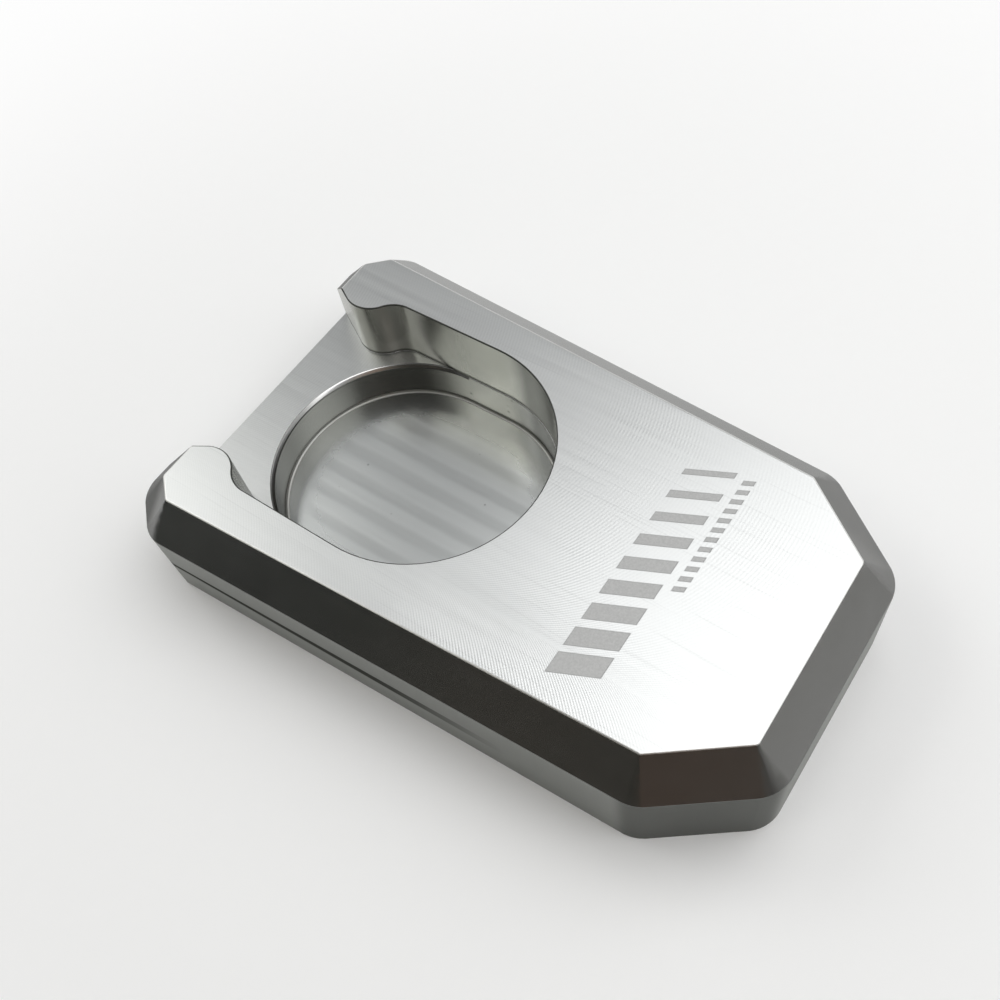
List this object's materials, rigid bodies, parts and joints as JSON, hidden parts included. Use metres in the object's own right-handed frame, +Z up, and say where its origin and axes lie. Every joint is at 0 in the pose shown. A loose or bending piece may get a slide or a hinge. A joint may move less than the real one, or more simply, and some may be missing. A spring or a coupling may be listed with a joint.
{
  "type": "kickstand foot enlarger",
  "caption": "Chamfered aluminium plate with a hooked open slot and a foot pocket; it slides onto a side stand's foot and spreads its load on soft ground.",
  "frame": {"origin": "centre of the flat underside, in the plane that stands on the ground", "axes": "+X along the plate from the open mouth towards the narrow tip, +Y towards the far side, +Z up out of the slot"},
  "size_m": [0.102, 0.0646, 0.0204],
  "materials": {
    "machined_aluminium": "bare machined aluminium with fine cutter marks, polished chamfers and one laser-etched patch"
  },
  "bodies": {
    "root": {"foot_plate": "machined_aluminium"}
  },
  "joints": []
}
